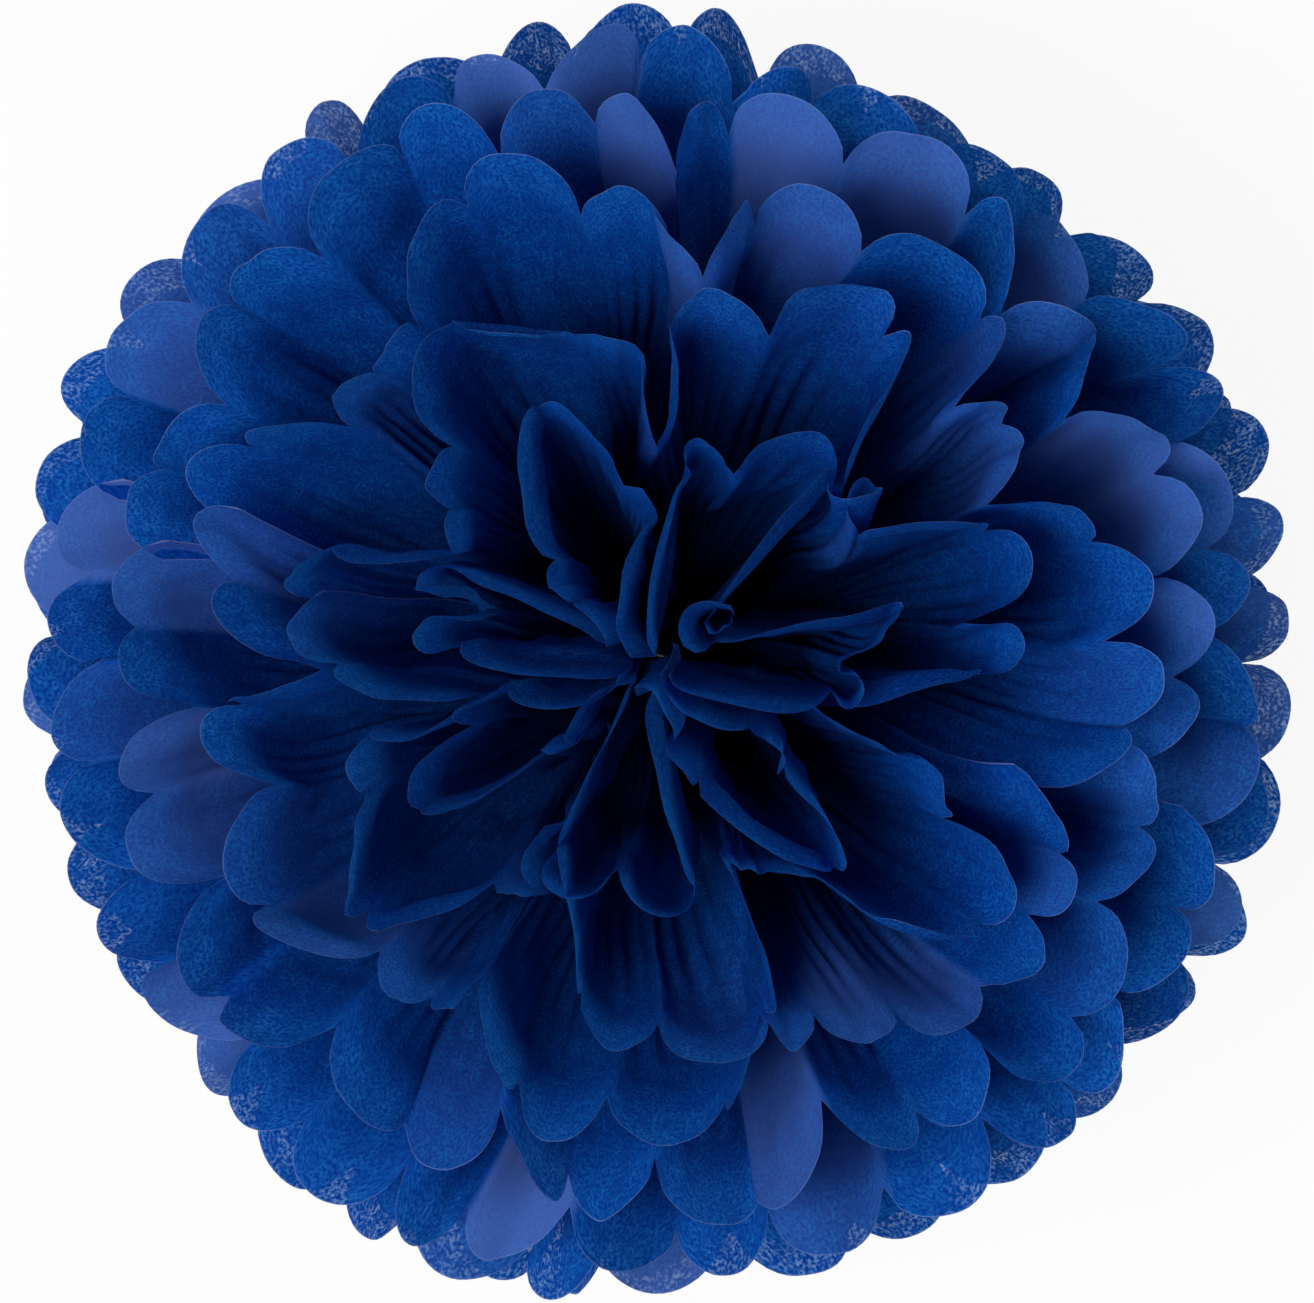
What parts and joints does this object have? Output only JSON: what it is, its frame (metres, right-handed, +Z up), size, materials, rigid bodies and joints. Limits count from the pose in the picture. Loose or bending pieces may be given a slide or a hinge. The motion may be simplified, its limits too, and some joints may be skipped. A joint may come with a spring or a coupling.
{
  "type": "tissue paper pom pom",
  "caption": "Ball of pleated tissue sheets, scalloped at their ends, tied at the middle with twisted wire and fluffed open up and down.",
  "frame": {"origin": "on the table, under the middle of the ball", "axes": "+Z is up along the ball's axis, through the tie; +X points along the sheets from one fan to the other; the seams between the fans lie along Y, and the wire's twisted ends point to -Y"},
  "size_m": [0.2508, 0.2534, 0.2393],
  "materials": {
    "tissue_paper": "thin matte tissue paper, translucent where it is single",
    "florist_wire": "soft annealed wire"
  },
  "bodies": {
    "root": {"sheet_01": "tissue_paper", "sheet_02": "tissue_paper", "sheet_03": "tissue_paper", "sheet_04": "tissue_paper", "sheet_05": "tissue_paper", "sheet_06": "tissue_paper", "sheet_07": "tissue_paper", "sheet_08": "tissue_paper", "sheet_09": "tissue_paper", "sheet_10": "tissue_paper", "sheet_11": "tissue_paper", "sheet_12": "tissue_paper", "wire_tie": "florist_wire"}
  },
  "joints": []
}
